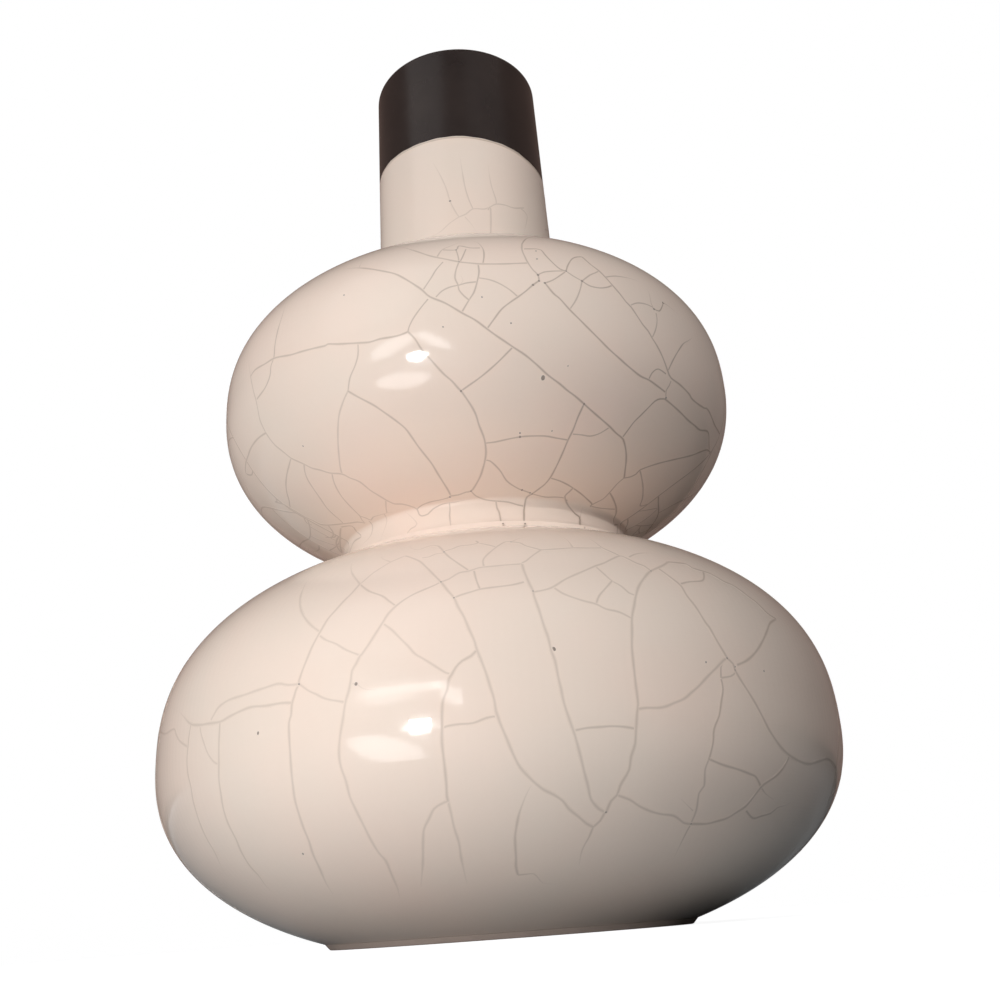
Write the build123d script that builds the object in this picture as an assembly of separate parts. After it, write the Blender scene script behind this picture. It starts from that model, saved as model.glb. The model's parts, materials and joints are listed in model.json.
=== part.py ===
from build123d import *
import math
import os

# Rises of the stages, from the standing surface up to the lip, in mm
foot_rise = 1.5
lower_belly_rise = 49.3
lower_shoulder_rise = 57.0
collar_step_rise = 1.6
collar_rise = 8.8
upper_belly_rise = 43.4
upper_shoulder_rise = 46.7
neck_rise = 51.1
band_rise = 40.6

# Outer radii
foot_radius = 53.5
lower_bulb_radius = 100.8
collar_radius = 45.6
upper_bulb_radius = 83.5
mouth_radius = 29.75

# How far the collar's step stands out from it, and how much wider the neck is at its root
collar_step_width = 5.4
neck_taper = 1.55

# Fullness of each bulb's outline: 2 is an ellipse, more is squarer
lower_belly_fullness = 2.32
lower_shoulder_fullness = 2.46
upper_belly_fullness = 2.21
upper_shoulder_fullness = 2.51

# Walls and floor
bulb_wall = 5.6
collar_wall = 7.6
mouth_wall = 4.25
foot_ring_width = 8.5
floor_thickness = 7.0
floor_overhang = 6.5

# Edges
foot_edge_rounding = 0.6
collar_root_fillet = 3.6
collar_top_fillet = 1.6
neck_root_fillet = 2.6
lip_rounding = 1.9

# Luting joints: the lower section's spigot stands in the upper section's rebate
lap_rise = 3.5
foot_lap_rise = 2.0
slip_gap = 0.2
joint_setback = 0.8

# Number of spans in a bulb's curve
curve_spans = 9

# Radii that follow from those above
collar_step_radius = collar_radius + collar_step_width
throat_radius = collar_radius - collar_wall
neck_root_radius = mouth_radius + neck_taper
neck_bore_radius = mouth_radius - mouth_wall
foot_bore_radius = foot_radius - foot_ring_width
floor_radius = foot_radius + floor_overhang

# Heights above the standing surface
lower_equator = foot_rise + lower_belly_rise
step_base = lower_equator + lower_shoulder_rise
collar_base = step_base + collar_step_rise
collar_top = collar_base + collar_rise
upper_equator = collar_top + upper_belly_rise
neck_root = upper_equator + upper_shoulder_rise
band_base = neck_root + neck_rise
lip = band_base + band_rise
base_recess = foot_rise + foot_lap_rise + slip_gap
cavity_floor = base_recess + floor_thickness


# A bulb's curve from its widest line to an end point, with r = R cos(a) and z rising as sin(a)
def bulb_curve(radius, equator, end_radius, end_height, fullness):
    power = 2 / fullness
    sweep = math.acos(end_radius / radius)
    rise = (end_height - equator) / math.sin(sweep) ** power
    angles = [sweep * span / curve_spans for span in range(curve_spans + 1)]
    points = [
        (radius * math.cos(angle), equator + rise * math.sin(angle) ** power)
        for angle in angles
    ]
    start_tangent = (0, math.copysign(1, rise))
    end_tangent = (
        -radius * math.sin(sweep),
        rise * power * math.sin(sweep) ** (power - 1) * math.cos(sweep),
    )
    return Spline(*points, tangents=(start_tangent, end_tangent))


# The corner of a flat face that is nearest to a point
def corner(face, radius, height):
    return face.vertices().sort_by_distance((radius, height, 0))[0]


# The vase's outside, from the recess under the floor to the lip, as half a section
def outer_face():
    base = Polyline(
        (0, base_recess),
        (foot_bore_radius, base_recess),
        (foot_bore_radius, 0),
        (foot_radius, 0),
        (foot_radius, foot_rise),
    )
    lower_belly = bulb_curve(
        lower_bulb_radius, lower_equator, foot_radius, foot_rise, lower_belly_fullness
    )
    lower_shoulder = bulb_curve(
        lower_bulb_radius, lower_equator, collar_step_radius, step_base, lower_shoulder_fullness
    )
    collar = Polyline(
        (collar_step_radius, step_base),
        (collar_step_radius, collar_base),
        (collar_radius, collar_base),
        (collar_radius, collar_top),
    )
    upper_belly = bulb_curve(
        upper_bulb_radius, upper_equator, collar_radius, collar_top, upper_belly_fullness
    )
    upper_shoulder = bulb_curve(
        upper_bulb_radius, upper_equator, neck_root_radius, neck_root, upper_shoulder_fullness
    )
    neck_and_lip = Polyline(
        (neck_root_radius, neck_root),
        (mouth_radius, lip),
        (0, lip),
        (0, base_recess),
    )
    outline = [base, lower_belly, lower_shoulder, collar, upper_belly, upper_shoulder, neck_and_lip]
    return make_face([edge for line in outline for edge in line.edges()])


# One bulb's hollow, with its own floor and roof
def bulb_hollow(equator, radius, low_radius, low, low_fullness, high_radius, high, high_fullness):
    belly = bulb_curve(radius, equator, low_radius, low, low_fullness)
    shoulder = bulb_curve(radius, equator, high_radius, high, high_fullness)
    axis_side = Polyline((low_radius, low), (0, low), (0, high), (high_radius, high))
    return make_face([edge for line in (belly, shoulder, axis_side) for edge in line.edges()])


# An upright bore from one height to another
def bore(radius, low, high):
    return make_face(Polyline((0, low), (radius, low), (radius, high), (0, high), (0, low)).edges())


# The wall of the whole vase in half section: the outside less the hollows, with its edges eased
def wall_face():
    lower_hollow = bulb_hollow(
        lower_equator,
        lower_bulb_radius - bulb_wall,
        floor_radius,
        cavity_floor,
        lower_belly_fullness,
        throat_radius,
        step_base - bulb_wall,
        lower_shoulder_fullness,
    )
    upper_hollow = bulb_hollow(
        upper_equator,
        upper_bulb_radius - bulb_wall,
        throat_radius,
        collar_top + bulb_wall,
        upper_belly_fullness,
        neck_bore_radius,
        neck_root - bulb_wall,
        upper_shoulder_fullness,
    )
    throat = bore(throat_radius, lower_equator, upper_equator)
    neck_bore = bore(neck_bore_radius, upper_equator, lip)
    wall = outer_face() - lower_hollow - upper_hollow - throat - neck_bore
    eased = [
        (foot_radius, 0, foot_edge_rounding),
        (foot_bore_radius, 0, foot_edge_rounding),
        (collar_radius, collar_base, collar_root_fillet),
        (collar_radius, collar_top, collar_top_fillet),
        (neck_root_radius, neck_root, neck_root_fillet),
        (mouth_radius, lip, lip_rounding),
        (neck_bore_radius, lip, lip_rounding),
    ]
    for radius, height, rounding in eased:
        wall = fillet(corner(wall, radius, height), rounding)
    return wall


# Half section of the space below a joint, up to the seat outside and to the spigot's top inside
def below_joint(seat, parting_radius, lap):
    reach = 2 * lower_bulb_radius
    spigot_radius = parting_radius - slip_gap / 2
    return make_face(
        Polyline(
            (0, -reach),
            (reach, -reach),
            (reach, seat),
            (spigot_radius, seat),
            (spigot_radius, seat + lap),
            (0, seat + lap),
            (0, -reach),
        ).edges()
    )


# Half section of what the piece above a joint must leave free: the same, with the slip gap added
def cleared_below(seat, parting_radius, lap):
    return below_joint(seat, parting_radius + slip_gap, lap + slip_gap)


# Each joint's seat height, the radius that parts spigot from rebate, and its lap
neck_joint_seat = neck_root + neck_root_fillet + joint_setback
collar_joint_seat = collar_top - collar_top_fillet - joint_setback
joints = [
    (foot_rise, (foot_bore_radius + foot_radius) / 2, foot_lap_rise),
    (lower_equator, lower_bulb_radius - bulb_wall / 2, lap_rise),
    (step_base, (throat_radius + collar_radius) / 2, lap_rise),
    (collar_joint_seat, (throat_radius + collar_radius) / 2, lap_rise),
    (upper_equator, upper_bulb_radius - bulb_wall / 2, lap_rise),
    (neck_joint_seat, (neck_bore_radius + neck_root_radius) / 2, lap_rise),
    (band_base, (neck_bore_radius + mouth_radius) / 2, lap_rise),
]

# The sections from the foot up, one between each joint and the next
sections = [
    "foot_ring",
    "lower_bulb_bowl",
    "lower_bulb_shoulder",
    "waist_collar",
    "upper_bulb_bowl",
    "upper_bulb_shoulder",
    "neck",
    "mouth_collar",
]

wall = wall_face()
os.makedirs("parts", exist_ok=True)
for place, section in enumerate(sections):
    profile = wall
    if place > 0:
        profile = profile - cleared_below(*joints[place - 1])
    if place < len(joints):
        profile = profile & below_joint(*joints[place])
    solid = revolve(Plane.XZ * profile, axis=Axis.Z)
    export_step(solid, f"parts/{section}.step")
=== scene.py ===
import json
import math
import random

import bpy
import numpy as np
from mathutils import Matrix, Vector

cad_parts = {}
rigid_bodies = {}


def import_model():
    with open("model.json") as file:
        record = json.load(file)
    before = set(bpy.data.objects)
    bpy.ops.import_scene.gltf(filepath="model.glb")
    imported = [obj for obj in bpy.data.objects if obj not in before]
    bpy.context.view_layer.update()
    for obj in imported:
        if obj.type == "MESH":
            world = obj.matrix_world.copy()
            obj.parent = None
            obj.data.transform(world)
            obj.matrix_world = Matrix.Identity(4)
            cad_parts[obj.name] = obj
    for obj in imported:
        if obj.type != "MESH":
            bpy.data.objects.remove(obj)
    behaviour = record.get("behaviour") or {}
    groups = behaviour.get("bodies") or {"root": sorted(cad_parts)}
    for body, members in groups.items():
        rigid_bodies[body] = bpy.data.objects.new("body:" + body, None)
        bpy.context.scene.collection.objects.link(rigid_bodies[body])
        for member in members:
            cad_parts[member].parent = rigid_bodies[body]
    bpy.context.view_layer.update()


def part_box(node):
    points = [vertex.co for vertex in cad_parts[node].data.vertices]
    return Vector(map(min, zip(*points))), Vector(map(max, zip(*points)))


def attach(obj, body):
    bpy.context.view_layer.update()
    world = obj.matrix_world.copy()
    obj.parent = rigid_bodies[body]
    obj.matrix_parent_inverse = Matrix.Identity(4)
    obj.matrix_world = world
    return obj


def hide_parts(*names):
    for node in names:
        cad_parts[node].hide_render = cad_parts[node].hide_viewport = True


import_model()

# Camera, where the photograph was taken from: low in front of the foot, looking up
photoCamera = {
    "pixels": 1110.1,  # focal length in pixels of a frame 1000 wide
    "frameWidth": 1000,
    "sensor": 36,
    "distance": 0.345,
    "height": 0.00257,
    "pitch": 0.3672,
    "yaw": 0.0166,
    "roll": -0.0737,
    "clipStart": 0.01,
}


def addObject(name, data):
    made = bpy.data.objects.new(name, data)
    bpy.context.collection.objects.link(made)
    return made


def cameraAxes():
    yaw, pitch, roll = (photoCamera[name] for name in ("yaw", "pitch", "roll"))
    forward = Vector((math.sin(yaw) * math.cos(pitch), math.cos(yaw) * math.cos(pitch), math.sin(pitch)))
    level = Vector((math.cos(yaw), -math.sin(yaw), 0))
    lift = level.cross(forward)
    right = level * math.cos(roll) + lift * math.sin(roll)
    up = lift * math.cos(roll) - level * math.sin(roll)
    return right, up, forward


eye = Vector((0, -photoCamera["distance"], photoCamera["height"]))
cameraRight, cameraUp, cameraForward = cameraAxes()
cameraData = bpy.data.cameras.new("photoCamera")
cameraData.sensor_width = photoCamera["sensor"]
cameraData.lens = photoCamera["pixels"] / photoCamera["frameWidth"] * photoCamera["sensor"]
cameraData.clip_start = photoCamera["clipStart"]
camera = addObject("photoCamera", cameraData)
turned = Matrix((cameraRight, cameraUp, -cameraForward)).transposed()
camera.matrix_world = Matrix.Translation(eye) @ turned.to_4x4()
bpy.context.scene.camera = camera
bpy.context.scene.view_settings.view_transform = "Standard"
print("stage: camera")


def nodeBase(node):
    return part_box(node)[0][2]


def nodeRadius(node):
    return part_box(node)[1][0]


# The vase's outline in metres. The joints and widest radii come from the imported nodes.
form = {
    "footHeight": nodeBase("lower_bulb_bowl"),
    "lowerEquator": nodeBase("lower_bulb_shoulder"),
    "stepBase": nodeBase("waist_collar"),
    "collarSeat": nodeBase("upper_bulb_bowl"),
    "upperEquator": nodeBase("upper_bulb_shoulder"),
    "neckSeat": nodeBase("neck"),
    "bandBase": nodeBase("mouth_collar"),
    "lip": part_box("mouth_collar")[1][2],
    "footRadius": nodeRadius("foot_ring"),
    "lowerRadius": nodeRadius("lower_bulb_bowl"),
    "stepRadius": nodeRadius("waist_collar"),
    "upperRadius": nodeRadius("upper_bulb_bowl"),
    "collarBase": 0.1094,
    "collarTop": 0.1182,
    "neckRoot": 0.2083,
    "collarRadius": 0.0456,
    "neckRootRadius": 0.0313,
    "mouthRadius": 0.02975,
    "lowerBellyFullness": 2.32,  # 2 is an ellipse, more is squarer
    "lowerShoulderFullness": 2.46,
    "upperBellyFullness": 2.21,
    "upperShoulderFullness": 2.51,
    "collarRootFillet": 0.0036,
    "collarTopFillet": 0.0016,
    "neckRootFillet": 0.0026,
    "contactRadius": 0.0521,
    "footEdge": 0.0009,
    "lipRounding": 0.0019,
    "bulbWall": 0.0056,
    "floorTop": 0.0107,
    "recess": 0.0037,
    "floorRadius": 0.06,
    "footBore": 0.045,
    "throat": 0.038,
    "neckBore": 0.0255,
    "lap": 0.0035,
    "footLap": 0.002,
    "slipGap": 0.0002,
    "glazeSetback": 0.00003,  # the wall stays this far inside, so that the crackle stays in the form
    "jointLand": 0.00004,  # a fine ring at each joint that keeps the gloss unbroken across it
    "liningLand": 0.0001,  # the bowl's lining has no point nearer than this to its joint
    "curveSpans": 64,
    "cornerSpans": 8,
}
millimetre = 0.001


def bulbLine(radius, equator, endRadius, endHeight, fullness):
    power = 2 / fullness
    sweep = math.acos(endRadius / radius)
    rise = (endHeight - equator) / math.sin(sweep) ** power
    spans = form["curveSpans"]
    angles = [sweep * span / spans for span in range(spans + 1)]
    return [(radius * math.cos(angle), equator + rise * math.sin(angle) ** power) for angle in angles]


# The point that lies a length along a line from one of its points, and where the walk stops
def walked(line, place, step, length):
    while 0 <= place + step < len(line):
        gap = math.dist(line[place], line[place + step])
        if gap >= length:
            share = length / gap
            start, end = line[place], line[place + step]
            return place + step, tuple(a + (b - a) * share for a, b in zip(start, end))
        length -= gap
        place += step
    return place, line[place]


# An eased corner: an arc that touches the line on both sides
def eased(line, corner, radius):
    spot = min(range(len(line)), key=lambda place: math.dist(line[place], corner))
    before = walked(line, spot, -1, radius)[1]
    after = walked(line, spot, 1, radius)[1]
    inward = math.atan2(corner[1] - before[1], corner[0] - before[0])
    outward = math.atan2(after[1] - corner[1], after[0] - corner[0])
    turn = abs((outward - inward + math.pi) % (2 * math.pi) - math.pi)
    first, start = walked(line, spot, -1, radius * math.tan(turn / 2))
    last, end = walked(line, spot, 1, radius * math.tan(turn / 2))
    weight = math.cos(turn / 2)
    points = (start, corner, end)
    spans = form["cornerSpans"]
    arc = []
    for step in range(spans + 1):
        share = step / spans
        parts = ((1 - share) ** 2, 2 * weight * share * (1 - share), share**2)
        arc.append(tuple(sum(p * q[axis] for p, q in zip(parts, points)) / sum(parts) for axis in (0, 1)))
    return line[: first + 1] + arc + line[last:]


# Both bulbs from the foot to the neck, at a depth in the wall, with the waist's points between them
def bulbLines(depth, foot, waistLow, waist, waistHigh, neck):
    lower = (form["lowerRadius"] - depth, form["lowerEquator"])
    upper = (form["upperRadius"] - depth, form["upperEquator"])
    line = bulbLine(*lower, *foot, form["lowerBellyFullness"])[::-1]
    line += bulbLine(*lower, *waistLow, form["lowerShoulderFullness"])[1:] + waist
    line += bulbLine(*upper, *waistHigh, form["upperBellyFullness"])[::-1]
    return line + bulbLine(*upper, *neck, form["upperShoulderFullness"])[1:]


def outerLine():
    foot = (form["footRadius"], form["footHeight"])
    step = (form["stepRadius"], form["stepBase"])
    collarRoot = (form["collarRadius"], form["collarBase"])
    collarTop = (form["collarRadius"], form["collarTop"])
    neck = (form["neckRootRadius"], form["neckRoot"])
    line = bulbLines(0, foot, step, [(form["stepRadius"], form["collarBase"]), collarRoot], collarTop, neck)
    line += [(form["mouthRadius"], form["lip"])]
    line = eased(line, collarRoot, form["collarRootFillet"])
    line = eased(line, collarTop, form["collarTopFillet"])
    return eased(line, neck, form["neckRootFillet"])


def innerLine():
    wall = form["bulbWall"]
    floorEdge = (form["floorRadius"], form["floorTop"])
    waistLow = (form["throat"], form["stepBase"] - wall)
    waistHigh = (form["throat"], form["collarTop"] + wall)
    neck = (form["neckBore"], form["neckRoot"] - wall)
    line = bulbLines(wall, floorEdge, waistLow, [], waistHigh, neck)
    return [(0, form["floorTop"])] + line + [(form["neckBore"], form["lip"])]


def setBack(line, depth):
    shifted = []
    for place, (radius, height) in enumerate(line):
        before = line[max(place - 1, 0)]
        after = line[min(place + 1, len(line) - 1)]
        slope = math.atan2(after[1] - before[1], after[0] - before[0])
        shifted.append((radius - depth * math.sin(slope), height + depth * math.cos(slope)))
    return shifted


# The part of a rising line between two heights, with a fine land next to each cut
def between(line, low, high):
    def cut(level):
        for start, end in zip(line, line[1:]):
            if start[1] <= level <= end[1] and end[1] > start[1]:
                share = (level - start[1]) / (end[1] - start[1])
                return (start[0] + (end[0] - start[0]) * share, level)
        return min(line, key=lambda point: abs(point[1] - level))

    land = form["jointLand"]
    kept = [point for point in line if low + 2 * land < point[1] < high - 2 * land]
    return [cut(low), cut(low + land), *kept, cut(high - land), cut(high)]


outer = outerLine()
inner = innerLine()
skin = setBack(outer, form["glazeSetback"])

# Lap joints, from the foot up: seat height, the radius that parts spigot from rebate, and the lap
halfWall = form["bulbWall"] / 2
halfGap = form["slipGap"] / 2
waistParting = (form["throat"] + form["collarRadius"]) / 2
lapJoints = [
    (form["footHeight"], (form["footBore"] + form["footRadius"]) / 2, form["footLap"]),
    (form["lowerEquator"], form["lowerRadius"] - halfWall, form["lap"]),
    (form["stepBase"], waistParting, form["lap"]),
    (form["collarSeat"], waistParting, form["lap"]),
    (form["upperEquator"], form["upperRadius"] - halfWall, form["lap"]),
    (form["neckSeat"], (form["neckBore"] + form["neckRootRadius"]) / 2, form["lap"]),
    (form["bandBase"], (form["neckBore"] + form["mouthRadius"]) / 2, form["lap"]),
]
glazed, lining, bare = 0, 1, 2


def footOutline(seat, parting, lap):
    contact = (form["contactRadius"], 0)
    bore = (form["footBore"], 0)
    middle = ((form["footBore"] + form["footRadius"]) / 2, 0)
    spigot = [(parting - halfGap, seat), (parting - halfGap, seat + lap), (form["footBore"], seat + lap)]
    ring = [middle, contact, (form["footRadius"], seat), *spigot, bore, middle]
    ring = eased(ring, contact, form["footEdge"])
    ring = eased(ring, bore, form["footEdge"])
    return [(point, bare) for point in ring[:-1]]


# The mouth collar's sides, up the outside, over the rounded lip and down the bore
def lipSides(seat, rebateTop):
    lipOuter = (form["mouthRadius"], form["lip"])
    lipInner = (form["neckBore"], form["lip"])
    outside = [point for point in skin if point[1] < form["lip"]] + [lipOuter]
    shell = between(outside, seat, form["lip"])[:-1] + [lipOuter, lipInner]
    shell += between(inner, rebateTop, form["lip"])[::-1][2:]
    shell = eased(shell, lipOuter, form["lipRounding"])
    shell = eased(shell, lipInner, form["lipRounding"])
    return [(point, glazed) for point in shell[:-1]] + [(shell[-1], bare)]


# One section's closed outline: points, each with the finish of the side that starts there
def sectionOutline(place):
    if place == 0:
        return footOutline(*lapJoints[0])
    seat, parting, lap = lapJoints[place - 1]
    rebateTop = seat + lap + form["slipGap"]
    if place == len(lapJoints):
        sides = lipSides(seat, rebateTop)
    else:
        rim, spigotRadius, spigotLap = lapJoints[place]
        spigotTop = rim + spigotLap
        outside = between(skin, seat, rim)
        if place == 1:  # the bowl with the floor
            inside = [point for point in inner if point[1] < spigotTop - form["liningLand"]]
            inside += between(inner, form["lowerEquator"], spigotTop)[-2:]
        else:
            inside = between(inner, rebateTop, spigotTop)
        sides = [(point, glazed) for point in outside[:-1]] + [(outside[-1], bare)]
        sides += [((spigotRadius - halfGap, height), bare) for height in (rim, spigotTop)]
        sides += [(point, lining) for point in inside[:0:-1]] + [(inside[0], bare)]
    if place == 1:
        rebateTop = form["recess"]
        sides.append(((0, rebateTop), bare))
    return sides + [((parting + halfGap, height), bare) for height in (rebateTop, seat)]


# Node helpers: each input is a plain value or the socket that feeds it
def feed(tree, node, inputs):
    for name, value in inputs.items():
        if isinstance(value, bpy.types.NodeSocket):
            tree.links.new(value, node.inputs[name])
        else:
            node.inputs[name].default_value = value


def addNode(tree, kind, inputs=None, **settings):
    node = tree.nodes.new(kind)
    for name, value in settings.items():
        setattr(node, name, value)
    feed(tree, node, inputs or {})
    return node


def addMath(tree, operation, *values):
    return addNode(tree, "ShaderNodeMath", dict(enumerate(values)), operation=operation).outputs[0]


def mixColors(tree, share, first, second):
    return addNode(tree, "ShaderNodeMix", {0: share, 6: first, 7: second}, data_type="RGBA").outputs[2]


def addNoise(tree, place, scale, detail):
    inputs = {"Vector": place, "Scale": scale, "Detail": detail}
    return addNode(tree, "ShaderNodeTexNoise", inputs).outputs[0]


def objectPlace(tree):
    return addNode(tree, "ShaderNodeTexCoord").outputs["Object"]


def storedValue(tree, name, kind):
    return addNode(tree, "GeometryNodeInputNamedAttribute", {"Name": name}, data_type=kind).outputs[0]


# Smooth shading, with sharp edges where the surface turns by more than an angle
def creased(tree, flow, sharpAngle):
    bend = addNode(tree, "GeometryNodeInputMeshEdgeAngle").outputs[0]
    inputs = {"Geometry": flow, "Shade Smooth": addMath(tree, "LESS_THAN", bend, sharpAngle)}
    return addNode(tree, "GeometryNodeSetShadeSmooth", inputs, domain="EDGE").outputs[0]


def realized(tree, flow):
    return addNode(tree, "GeometryNodeRealizeInstances", {0: flow}).outputs[0]


def newTree(name, kind, inputs, outputs):
    tree = bpy.data.node_groups.new(name, kind)
    for direction, sockets in (("INPUT", inputs), ("OUTPUT", outputs)):
        for label, socketKind in sockets.items():
            tree.interface.new_socket(label, in_out=direction, socket_type="NodeSocket" + socketKind)
    return tree, tree.nodes.new("NodeGroupInput").outputs, tree.nodes.new("NodeGroupOutput")


# A mesh of points and edges that carries values for a tree to read
def guideMesh(name, points, edges, stored):
    mesh = bpy.data.meshes.new(name)
    mesh.from_pydata(points, edges, [])
    for label, (kind, values) in stored.items():
        field = "vector" if kind == "FLOAT_VECTOR" else "value"
        mesh.attributes.new(label, kind, "POINT").data.foreach_set(field, values)
    return mesh


def ringEdges(count):
    return [(place, (place + 1) % count) for place in range(count)]


# Runs a tree on a mesh and leaves the result as a plain mesh at the origin
def shapedPiece(name, mesh, tree, values):
    piece = addObject(name, mesh)
    modifier = piece.modifiers.new("shape", "NODES")
    modifier.node_group = tree
    for socket in tree.interface.items_tree:
        if socket.item_type == "SOCKET" and socket.in_out == "INPUT" and socket.name in values:
            modifier[socket.identifier] = values[socket.name]
    graph = bpy.context.evaluated_depsgraph_get()
    evaluated = piece.evaluated_get(graph)
    made = bpy.data.meshes.new_from_object(evaluated, preserve_all_data_layers=True, depsgraph=graph)
    piece.modifiers.remove(modifier)
    piece.data = made
    made.name = name
    return piece


# Glaze: a slow drift of tone, the shallow waves that make its highlights wander, and fine pits
glaze = {
    "thin": (0.905, 0.712, 0.612, 1),
    "full": (0.81, 0.718, 0.626, 1),
    "driftScale": 26.0,
    "roughness": 0.09,
    "waveScale": 42.0,
    "waveHeight": 0.00012,
    "pitScale": 900.0,
    "pitHeight": 0.000004,
}
liningGlaze = glaze | {"roughness": 0.3}
blackGlaze = {
    "thin": (0.035, 0.026, 0.023, 1),
    "full": (0.012, 0.009, 0.009, 1),
    "driftScale": 60.0,
    "roughness": 0.26,
    "waveScale": 160.0,
    "waveHeight": 0.00006,
    "pitScale": 1500.0,
    "pitHeight": 0.000006,
}
glazeInputs = {
    "Thin": "thin",
    "Full": "full",
    "Drift Scale": "driftScale",
    "Gloss": "roughness",
    "Wave Scale": "waveScale",
    "Wave Height": "waveHeight",
    "Pit Scale": "pitScale",
    "Pit Height": "pitHeight",
}
glazeDetail = {"drift": 3.0, "wave": 1.0, "pit": 0.0, "roughnessSpread": 0.06}
clay = {
    "light": (0.47, 0.38, 0.33, 1),
    "dark": (0.36, 0.28, 0.24, 1),
    "ringPitch": 0.0012,
    "ringHeight": 0.00004,
    "grainScale": 1800.0,
    "grainHeight": 0.00003,
    "roughness": 0.86,
}
clayInputs = {
    "Light": "light",
    "Dark": "dark",
    "Ring Pitch": "ringPitch",
    "Ring Height": "ringHeight",
    "Grain Scale": "grainScale",
    "Grain Height": "grainHeight",
}
clayDetail = {"grain": 4.0, "blotchScale": 70.0, "blotch": 2.0}


def inputKinds(labels, finish):
    return {label: "Color" if isinstance(finish[key], tuple) else "Float" for label, key in labels.items()}


def glazeGroup():
    outputs = {"Color": "Color", "Roughness": "Float", "Height": "Float"}
    tree, given, result = newTree("fluidGlaze", "ShaderNodeTree", inputKinds(glazeInputs, glaze), outputs)
    place = objectPlace(tree)
    drift = addNoise(tree, place, given["Drift Scale"], glazeDetail["drift"])
    spread = glazeDetail["roughnessSpread"]
    uneven = addMath(tree, "MULTIPLY_ADD", drift, spread, -spread / 2)
    waves = addNoise(tree, place, given["Wave Scale"], glazeDetail["wave"])
    pits = addNoise(tree, place, given["Pit Scale"], glazeDetail["pit"])
    waveRise = addMath(tree, "MULTIPLY", waves, given["Wave Height"])
    pitRise = addMath(tree, "MULTIPLY", pits, given["Pit Height"])
    made = {
        "Color": mixColors(tree, drift, given["Thin"], given["Full"]),
        "Roughness": addMath(tree, "ADD", uneven, given["Gloss"]),
        "Height": addMath(tree, "ADD", waveRise, pitRise),
    }
    feed(tree, result, made)
    return tree


# Bare clay: fine turning rings round the axis and a sandy grain
def clayGroup():
    outputs = {"Color": "Color", "Height": "Float"}
    tree, given, result = newTree("turnedClay", "ShaderNodeTree", inputKinds(clayInputs, clay), outputs)
    place = objectPlace(tree)
    x, y, z = addNode(tree, "ShaderNodeSeparateXYZ", {0: place}).outputs
    radius = addMath(tree, "SQRT", addMath(tree, "MULTIPLY_ADD", x, x, addMath(tree, "POWER", y, 2.0)))
    turns = addMath(tree, "DIVIDE", addMath(tree, "ADD", radius, z), given["Ring Pitch"])
    rings = addMath(tree, "MULTIPLY_ADD", addMath(tree, "SINE", turns), 0.5, 0.5)
    grain = addNoise(tree, place, given["Grain Scale"], clayDetail["grain"])
    blotch = addNoise(tree, place, clayDetail["blotchScale"], clayDetail["blotch"])
    shade = addMath(tree, "MULTIPLY_ADD", grain, 0.5, addMath(tree, "MULTIPLY", blotch, 0.5))
    ringRise = addMath(tree, "MULTIPLY", rings, given["Ring Height"])
    grainRise = addMath(tree, "MULTIPLY", grain, given["Grain Height"])
    made = {
        "Color": mixColors(tree, shade, given["Light"], given["Dark"]),
        "Height": addMath(tree, "ADD", ringRise, grainRise),
    }
    feed(tree, result, made)
    return tree


fluidGlaze = glazeGroup()
turnedClay = clayGroup()


def newMaterial(name):
    material = bpy.data.materials.new(name)
    material.use_nodes = True
    return material, material.node_tree, material.node_tree.nodes["Principled BSDF"]


def placeGroup(tree, group, labels, finish):
    inputs = {label: finish[key] for label, key in labels.items()}
    return addNode(tree, "ShaderNodeGroup", inputs, node_tree=group).outputs


def bumpNormal(tree, height):
    return addNode(tree, "ShaderNodeBump", {"Height": height, "Distance": 1.0}).outputs["Normal"]


# Where a stain is given, the piece's own attributes say how far it covers the glaze
def glazeMaterial(name, finish, stain=None):
    material, tree, shader = newMaterial(name)
    parts = placeGroup(tree, fluidGlaze, glazeInputs, finish)
    color = parts["Color"]
    if stain:
        across = addNode(tree, "ShaderNodeAttribute", attribute_name="stain").outputs["Fac"]
        along = addNode(tree, "ShaderNodeAttribute", attribute_name="shade").outputs["Fac"]
        color = mixColors(tree, addMath(tree, "MULTIPLY", across, along), color, stain)
    feed(tree, shader, {"Base Color": color, "Roughness": parts["Roughness"]})
    feed(tree, shader, {"Normal": bumpNormal(tree, parts["Height"])})
    return material


def clayMaterial(name, finish):
    material, tree, shader = newMaterial(name)
    parts = placeGroup(tree, turnedClay, clayInputs, finish)
    feed(tree, shader, {"Base Color": parts["Color"], "Roughness": finish["roughness"]})
    feed(tree, shader, {"Normal": bumpNormal(tree, parts["Height"])})
    return material


creamMaterial = glazeMaterial("creamGlaze", glaze)
liningMaterial = glazeMaterial("liningGlaze", liningGlaze)
blackMaterial = glazeMaterial("blackGlaze", blackGlaze)
clayFinish = clayMaterial("bareClay", clay)
print("stage: materials")

# Turning: a half profile is swept round the axis. Grid columns are the turns and its rows the profile.
turning = {
    "segments": 256,
    "sharpAngle": math.radians(28),
    "mergeDistance": 0.000001,
    "bandEdge": {-180: -0.6, -120: 1.0, -65: 1.6, -30: 0.8, 0: 0.3, 20: -0.7, 35: -1.4, 60: -2.9, 110: -1.6},
    "bandEdgeFade": 0.009,
}


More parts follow.
